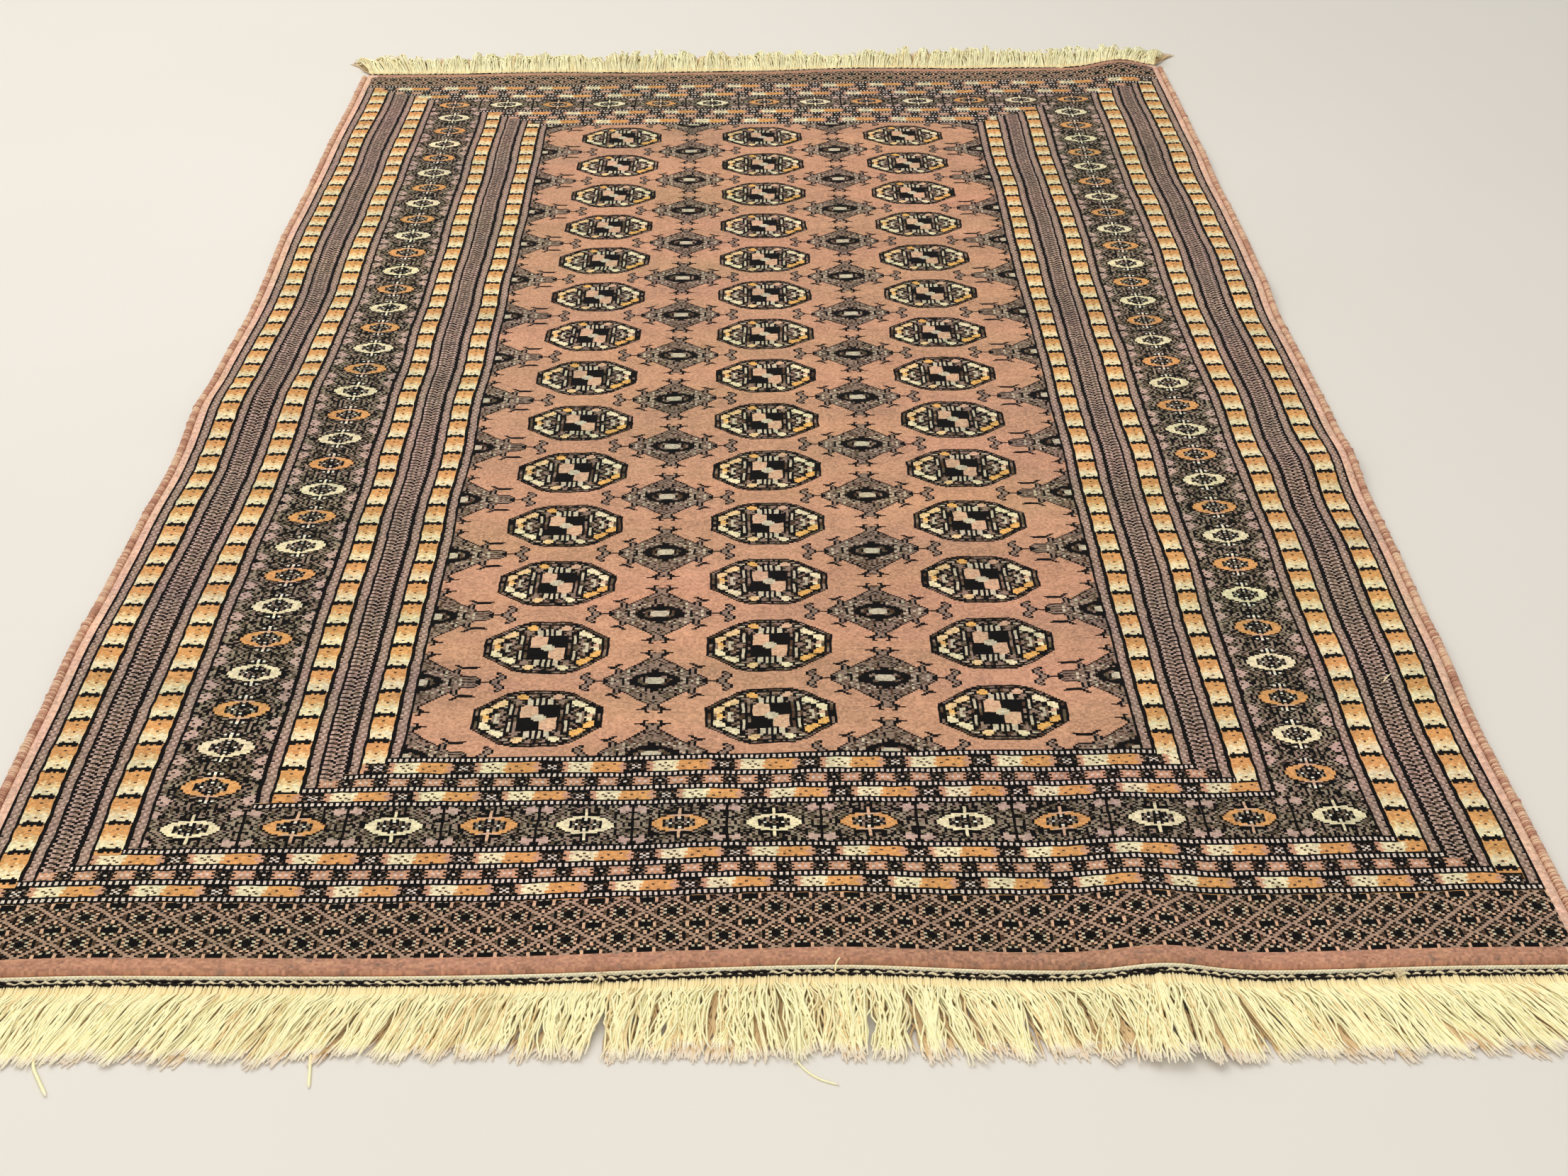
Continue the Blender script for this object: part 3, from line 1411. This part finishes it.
@dataclass
class SideCord:
    """A cord down one long side with wool wound over it, turn by turn, thick and thin.

    Attributes:
        layout: How the rug lies.
        side: Which side.
        core: The radius of the cord inside.
        yarn: The radius of the wool.
        turns: How many turns of wool there are.
    """

    layout: Layout
    side: Side
    core: float = 3.0
    yarn: float = 1.15
    turns: int = 760

    def turn(self, chance: random.Random, middle: float, y: float) -> Strand:
        """Winds one turn of wool over the cord.

        Args:
            chance: The seeded source of its own differences.
            middle: The cord's place in X.
            y: The turn's place in Y.

        Returns:
            The turn.
        """
        loose = 1.2 * chance.random() if chance.random() < 0.06 else 0.0
        reach = self.core + 0.35 * chance.random() + loose
        slant, sway = 1.6 * (chance.random() - 0.2), 0.5 * noise.noise(Vector((y / 9, middle, 7)))
        points, radii = [], []
        for step in range(7):
            angle = math.radians(-45 + 45 * step)
            x = middle + sway + self.side.value * reach * math.cos(angle)
            height = self.core + self.yarn + 0.1 + reach * math.sin(angle)
            height = max(height, self.yarn + 0.05)
            points.append(self.layout.place(x, y + slant * (step / 6 - 0.5), height))
            radii.append(self.yarn * (0.85 + 0.3 * chance.random()) / 1000)
        return Strand(points, radii, chance.random())

    def build(self, finish: bpy.types.Material) -> bpy.types.Object:
        """Returns the cord."""
        middle = self.side.value * (PILE_WIDTH / 2 + 0.4 + self.core + self.yarn * 0.6)
        chance = random.Random(11 + self.side.value)
        half = PILE_LENGTH / 2 - 1.5
        core_points = [
            self.layout.place(middle, y, self.core + self.yarn + 0.1) for y in stations([-half, half], 6.0)
        ]
        strands = [Strand(core_points, [self.core / 1000] * len(core_points), 0.3)]
        for index in range(self.turns):
            y = -half + 2 * half * (index + 0.5 + 0.5 * (chance.random() - 0.5)) / self.turns
            strands.append(self.turn(chance, middle, y))
        name = self.side.name.lower()
        return YarnBundle(f"side_cord_{name}", strands).build(finish, f"selvedge_{name}", "selvedge_wool")


@dataclass
class EndWeave:
    """The narrow flat-woven band beyond the pile at one end, with a bright ridge next to the pile."""

    layout: Layout
    end: End
    width: float = 13.0

    def build(self, finish: bpy.types.Material) -> bpy.types.Object:
        """Returns the band."""
        inner = PILE_LENGTH / 2 + 0.3
        rows = [inner + out for out in (0.0, 0.7, 1.4, 2.0, 2.6, 3.2, 3.9, 4.8, 7.0, 10.0, self.width)]
        along = sorted(self.end.value * row for row in rows)
        across = stations([-PILE_WIDTH / 2, PILE_WIDTH / 2], 4.0)

        def top(x: float, y: float) -> float:
            out = abs(y) - inner
            ridge = 3.6 * math.exp(-(((out - 2.3) / 1.5) ** 2))
            return 2.6 + ridge + 0.25 * noise.noise(Vector((x / 6, y / 6, 2.0)))

        mesh = Slab(self.layout, across, along, top).mesh(f"end_weave_{self.end.name.lower()}")
        piece = add_object(f"end_weave_{self.end.name.lower()}", mesh, [finish])
        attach(piece, "root")
        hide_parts(f"kelim_{self.end.name.lower()}")
        return piece


@dataclass
class TwinedLine:
    """Two dark yarns along an end, with a pale one laid between them that dips under in places.

    Attributes:
        layout: How the rug lies.
        end: Which end.
        out: How far the line's middle is from the pile.
        gap: Where the dark yarns break off, and how wide that gap is.
    """

    layout: Layout
    end: End
    out: float = 7.6
    gap: Tuple[float, float] = (468.0, 9.0)

    def dark(self, lane: int) -> List[Strand]:
        """Lays one of the dark yarns, in two lengths.

        Args:
            lane: Which side of the middle it lies on, -1 or 1.

        Returns:
            The yarn's two lengths.
        """
        half = PILE_WIDTH / 2 - 1.0
        middle, wide = self.gap
        strands = []
        for low, high in ((-half, middle - wide / 2), (middle + wide / 2, half)):
            points, radii = [], []
            for x in stations([low, high], 1.6):
                turn = 2 * math.pi * (x / 9.5 + 0.25 * noise.noise(Vector((x / 30, lane, 0))))
                y = self.out + lane * (1.55 + 0.35 * math.sin(turn))
                points.append(self.layout.place(x, self.end.value * (PILE_LENGTH / 2 + 0.3 + y), 4.2 + 0.3 * math.cos(turn)))
                radii.append((1.4 + 0.15 * noise.noise(Vector((x / 5, lane, 3)))) / 1000)
            strands.append(Strand(points, radii))
        return strands

    def pale(self) -> List[Strand]:
        """Lays the pale yarn, which shows in short dashes."""
        half = PILE_WIDTH / 2 - 1.0
        middle, wide = self.gap
        points, radii = [], []
        for x in stations([-half, half], 1.2):
            turn = 2 * math.pi * (x / 8.6 + 0.5 * noise.noise(Vector((x / 25, 5.0, 1))))
            deep = 1.6 * smooth(noise.noise(Vector((x / 42, 2.0, self.end.value))), 0.02, 0.3)
            deep *= smooth(abs(x - middle), wide / 2, wide)
            y = self.out + 0.8 * math.sin(turn)
            height = 4.9 + 0.95 * math.cos(turn) - deep
            points.append(self.layout.place(x, self.end.value * (PILE_LENGTH / 2 + 0.3 + y), height))
            radii.append(1.0 / 1000)
        return [Strand(points, radii)]

    def knot(self, x: float) -> List[Strand]:
        """Ties a small pale knot with frayed ends over the line.

        Args:
            x: Its place.

        Returns:
            Its short yarns.
        """
        chance = random.Random(int(x))
        strands = []
        for _ in range(7):
            turn, reach = 2 * math.pi * chance.random(), 3.0 + 4.0 * chance.random()
            points = []
            for step in range(5):
                at = step / 4
                side = x + math.cos(turn + at) * reach * at
                y = self.out + math.sin(turn + at) * reach * at
                height = 6.0 + 1.6 * math.sin(math.pi * at)
                points.append(self.layout.place(side, self.end.value * (PILE_LENGTH / 2 + 0.3 + y), height))
            strands.append(Strand(points, [0.8 / 1000] * 5, chance.random()))
        return strands

    def build(self, dark: bpy.types.Material, pale: bpy.types.Material) -> List[bpy.types.Object]:
        """Returns the dark yarns and the pale one."""
        name = self.end.name.lower()
        knots = self.knot(-130.0) + self.knot(462.0) if self.end is End.NEAR else []
        return [
            YarnBundle(f"twined_dark_{name}", self.dark(-1) + self.dark(1)).build(dark, f"twined_line_{name}", "twined_yarn"),
            YarnBundle(f"twined_pale_{name}", self.pale() + knots).build(pale, f"twined_line_{name}", "twined_yarn"),
        ]


@dataclass(frozen=True)
class Lock:
    """One lock of a fringe: what its yarns share.

    Attributes:
        share: Its place along the end, from 0 to 1.
        length: Its length.
        lean: Its lean in degrees.
        arch: How high its middle rises.
        loose: How far its yarns stray, from 0 to 1.
        bend: How far it curls sideways.
        lift: How high it lies on the locks beside it.
    """

    share: float
    length: float
    lean: float
    arch: float
    loose: float
    bend: float
    lift: float


@dataclass
class Fringe:
    """One layer of the loose warp ends at one end of the rug, gathered in soft locks.

    Attributes:
        layout: How the rug lies.
        end: Which end.
        guides: Length, lean in degrees, arch and looseness of the locks at places from left to right.
        name: The piece's name.
        locks: How many locks there are.
        yarns: How many yarns each lock has.
        thickness: The yarns' radius.
        steps: How many straight lengths each yarn is made of.
        ragged: How much the yarns' lengths differ.
        under: Whether this is the flat layer underneath.
    """

    layout: Layout
    end: End
    guides: Sequence[Tuple[float, float, float, float]]
    name: str
    locks: int = 92
    yarns: int = 22
    thickness: float = 0.82
    steps: int = 10
    ragged: float = 0.09
    under: bool = False

    def strand(self, chance: random.Random, lock: Lock, part: float) -> Strand:
        """Grows one yarn of a lock.

        Args:
            chance: The seeded source of its own differences.
            lock: The lock that it belongs to.
            part: The yarn's place in the lock, from -1 to 1.

        Returns:
            The yarn.
        """
        spread = PILE_WIDTH / self.locks
        root_x = (PILE_WIDTH - 3) * (lock.share - 0.5) + part * spread * 0.55
        root_y = PILE_LENGTH / 2 + 0.3 + 9.5
        layer = 0.0 if self.under else chance.random()
        reach_all = (lock.length + 6) * (1 - self.ragged * (chance.random() + 0.6 * part * part))
        own_lean = lock.lean + 10.0 * (0.4 + lock.loose) * (chance.random() - 0.5)
        if chance.random() < 0.05:
            own_lean += 30 * (chance.random() - 0.5) * (0.3 + lock.loose)
        gather = -part * spread * 0.5 * (0.15 + 0.85 * lock.loose)
        wave, phase = (1.7 + 2.2 * lock.loose) * chance.random(), 2 * math.pi * chance.random()
        points, radii = [], []
        for index in range(self.steps + 1):
            at = index / self.steps
            reach = reach_all * at
            free = smooth(reach, 5, 20)
            turn = math.radians(own_lean) * (0.55 + 0.45 * at) * free
            sway = gather * smooth(at, 0.35, 1.0) + lock.bend * math.sin(math.pi * at) * free
            sway += wave * math.sin(phase + at * (7 + 5 * lock.lift)) * free
            x = root_x + math.sin(turn) * reach + sway * math.cos(turn)
            y = root_y + math.cos(turn) * reach
            height = 0.9 + 1.5 * (1 - at) + (2.2 * layer + lock.lift * free) * (1 - 0.35 * at)
            if not self.under:
                height += lock.arch * math.sin(math.pi * min(1.0, at * 1.04)) * (0.5 + 0.5 * layer) * free
            points.append(self.layout.place(x, self.end.value * y, height))
            radii.append(self.thickness * (1.0 if at < 0.99 else 0.75) / 1000)
        return Strand(points, radii, chance.random())

    def lock(self, chance: random.Random, share: float) -> Lock:
        """Reads the guides at a place and gives the lock there its own small differences."""
        length, lean, arch, loose = (Layout.read([guide[k] for guide in self.guides], share) for k in range(4))
        loose = min(1.0, max(0.0, loose))
        return Lock(
            share,
            length * (1 + 0.17 * (chance.random() - 0.5)),
            lean + (6 + 12 * loose) * (chance.random() - 0.5),
            arch * (0.6 + 0.6 * chance.random()),
            loose,
            11.0 * loose * (chance.random() - 0.5),
            1.6 * chance.random(),
        )

    def build(self, finish: bpy.types.Material, strays: Sequence[Strand] = ()) -> bpy.types.Object:
        """Returns the layer.

        Args:
            finish: The material.
            strays: Single yarns that lie apart from the locks.

        Returns:
            The piece.
        """
        chance = random.Random(5 + self.end.value + 10 * self.under)
        strands = list(strays)
        for index in range(self.locks):
            lock = self.lock(chance, (index + 0.5) / self.locks)
            for yarn in range(self.yarns):
                strands.append(self.strand(chance, lock, (yarn + chance.random()) / self.yarns * 2 - 1))
        return YarnBundle(self.name, strands, 0).build(finish, f"fringe_{self.end.name.lower()}", "fringe_cotton")


@dataclass
class Stray:
    """One loose yarn that lies apart.

    Attributes:
        course: Places on the laid rug's floor, in millimetres: X, Y and height.
        thickness: Its radius.
    """

    course: Sequence[Tuple[float, float, float]]
    thickness: float = 1.1

    def strand(self, layout: Layout) -> Strand:
        """Lays the yarn along a smooth line through its course."""
        count = 5 * (len(self.course) - 1)
        points = []
        for index in range(count + 1):
            spot = Vector([Layout.read([c[k] for c in self.course], index / count) for k in range(3)])
            points.append((spot + layout.offset) / 1000)
        radii = [self.thickness * (1.0 if index < count else 0.7) / 1000 for index in range(count + 1)]
        return Strand(points, radii, 0.9)


@dataclass
class Studio:
    """The floor, the soft light and the camera."""

    layout: Layout
    camera_place: Tuple[float, float, float] = (-3.0, -1793.0, 1024.0)
    camera_turn: Tuple[float, float, float] = (53.109, 0.185, -0.871)
    focal_pixels: float = 2500.0
    picture_width: float = 2212.0

    def build(self) -> bpy.types.Object:
        """Adds all of it and returns the floor."""
        shape = bmesh.new()
        bmesh.ops.create_grid(shape, x_segments=4, y_segments=4, size=9.0)
        mesh = bpy.data.meshes.new("floor")
        shape.to_mesh(mesh)
        shape.free()
        floor = add_object("floor", mesh, [FloorFinish().build()])
        self.lamp("softbox_above", (-1.1, 0.7, 3.1), (0, 0.2, 0), 3.4, 76.0)
        self.lamp("softbox_far", (-1.6, 3.4, 2.4), (0, 0.3, 0), 2.0, 16.0)
        self.lamp("softbox_near", (0.2, -3.3, 1.9), (0, -0.95, 0), 1.8, 30.0)
        self.sky(0.52)
        self.camera()
        bpy.context.scene.view_settings.view_transform = "Standard"
        return floor

    @staticmethod
    def lamp(name: str, place: Sequence[float], target: Sequence[float], size: float, power: float) -> None:
        """Adds a soft square lamp that faces a point.

        Args:
            name: Its name.
            place: Where it hangs.
            target: The point it faces.
            size: Its side.
            power: Its power in watts.
        """
        light = bpy.data.lights.new(name, "AREA")
        light.shape, light.size, light.energy = "SQUARE", size, power
        lamp = bpy.data.objects.new(name, light)
        lamp.location = place
        lamp.rotation_euler = (Vector(target) - Vector(place)).to_track_quat("-Z", "Y").to_euler()
        bpy.context.scene.collection.objects.link(lamp)

    @staticmethod
    def sky(strength: float) -> None:
        """Fills the room with even light."""
        world = bpy.data.worlds.new("room")
        world.use_nodes = True
        ground = world.node_tree.nodes["Background"]
        ground.inputs[0].default_value = (1.0, 0.985, 0.96, 1.0)
        ground.inputs[1].default_value = strength
        bpy.context.scene.world = world

    def camera(self) -> None:
        """Places the camera at the photograph's viewing angle."""
        lens = bpy.data.cameras.new("camera")
        lens.sensor_width = 36.0
        lens.lens = 36.0 * self.focal_pixels / self.picture_width
        camera = bpy.data.objects.new("camera", lens)
        camera.location = (Vector(self.camera_place) + self.layout.offset) / 1000
        camera.rotation_euler = tuple(math.radians(angle) for angle in self.camera_turn)
        bpy.context.scene.collection.objects.link(camera)
        bpy.context.scene.camera = camera


NEAR_GUIDES = (
    (66, -17, 5, 0.08), (67, -19, 5, 0.08), (70, -23, 6, 0.12), (66, -22, 6, 0.18), (63, -12, 7, 0.45),
    (67, -3, 9, 0.9), (71, 2, 10, 1.0), (68, 14, 8, 0.7), (69, 10, 9, 0.8), (72, 24, 7, 0.45),
    (74, 28, 6, 0.4), (75, 30, 6, 0.4),
)  # fmt: skip
FAR_GUIDES = (
    (72, -34, 18, 0.7), (70, -6, 17, 0.6), (74, 3, 21, 0.8), (70, -3, 18, 0.6), (73, 5, 21, 0.8),
    (72, 2, 19, 0.7), (74, -5, 21, 0.8), (70, 4, 19, 0.6), (75, 6, 23, 0.8), (73, 3, 20, 0.7),
    (71, 8, 18, 0.7), (70, 32, 16, 0.7),
)  # fmt: skip
NEAR_STRAYS = (
    Stray(((-527, -972, 2), (-526, -984, 1.6), (-518, -997, 1.6), (-509, -1010, 1.6)), 1.35),
    Stray(((-331, -978, 2), (-329, -992, 1.4), (-327, -1006, 1.2)), 1.2),
    Stray(((8, -972, 2), (17, -992, 1.2), (29, -1004, 1.0), (44, -1010, 1.0)), 0.8),
    Stray(((45, -914, 9), (46, -908, 11), (49, -902, 10)), 0.7),
    Stray(((545, -591, 9.6), (551, -584, 10.0), (559, -577, 9.6)), 1.0),
)


@dataclass
class Rug:
    """The whole rug."""

    layout: Layout

    def build(self, floor: bpy.types.Object) -> None:
        """Args:
            floor: What the rug lies on.
        """
        pile = PileCarpet(self.layout).build()
        wool, cotton = WrapFinish().build(), FlatWeaveFinish().build()
        dark = TwinedFinish("twined_dark", linear(26, 20, 18), linear(96, 80, 62), 0.32).build()
        pale = TwinedFinish("twined_pale", linear(222, 206, 168), linear(120, 100, 80), 0.36).build()
        root, tip = linear(255, 234, 180), linear(255, 244, 226)
        yarn = YarnFinish("fringe_cotton", root, linear(255, 248, 200), linear(238, 208, 152), tip).build()
        soiled = YarnFinish("fringe_underlayer", root, linear(222, 192, 144), linear(160, 126, 84), tip).build()
        pale_yarn = YarnFinish("fringe_far_cotton", root, linear(255, 250, 208), linear(246, 224, 168), tip).build()
        extras = [SideCord(self.layout, side).build(wool) for side in Side]
        extras += [EndWeave(self.layout, end).build(cotton) for end in End]
        for end in End:
            extras += TwinedLine(self.layout, end).build(dark, pale)
        strays = [stray.strand(self.layout) for stray in NEAR_STRAYS]
        near_under = Fringe(
            self.layout, End.NEAR, NEAR_GUIDES, "fringe_under_near", yarns=17, thickness=1.0, ragged=0.1, under=True
        )
        far_under = Fringe(
            self.layout, End.FAR, FAR_GUIDES, "fringe_under_far", yarns=12, thickness=1.1, ragged=0.1, under=True
        )
        far_top = Fringe(
            self.layout, End.FAR, FAR_GUIDES, "fringe_yarns_far", locks=110, yarns=16, thickness=0.85, steps=8, ragged=0.26
        )
        extras.append(Fringe(self.layout, End.NEAR, NEAR_GUIDES, "fringe_yarns_near").build(yarn, strays))
        extras += [near_under.build(soiled), far_under.build(soiled), far_top.build(pale_yarn)]
        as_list(extras)


def main() -> None:
    """Builds the scene and notes the sizes before and after."""
    logging.basicConfig(level=logging.INFO, format="%(name)s %(message)s")
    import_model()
    layout = Layout()
    layout.anchor()
    floor = Studio(layout).build()
    Rug(layout).build(floor)
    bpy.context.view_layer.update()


if __name__ == "__main__":
    main()
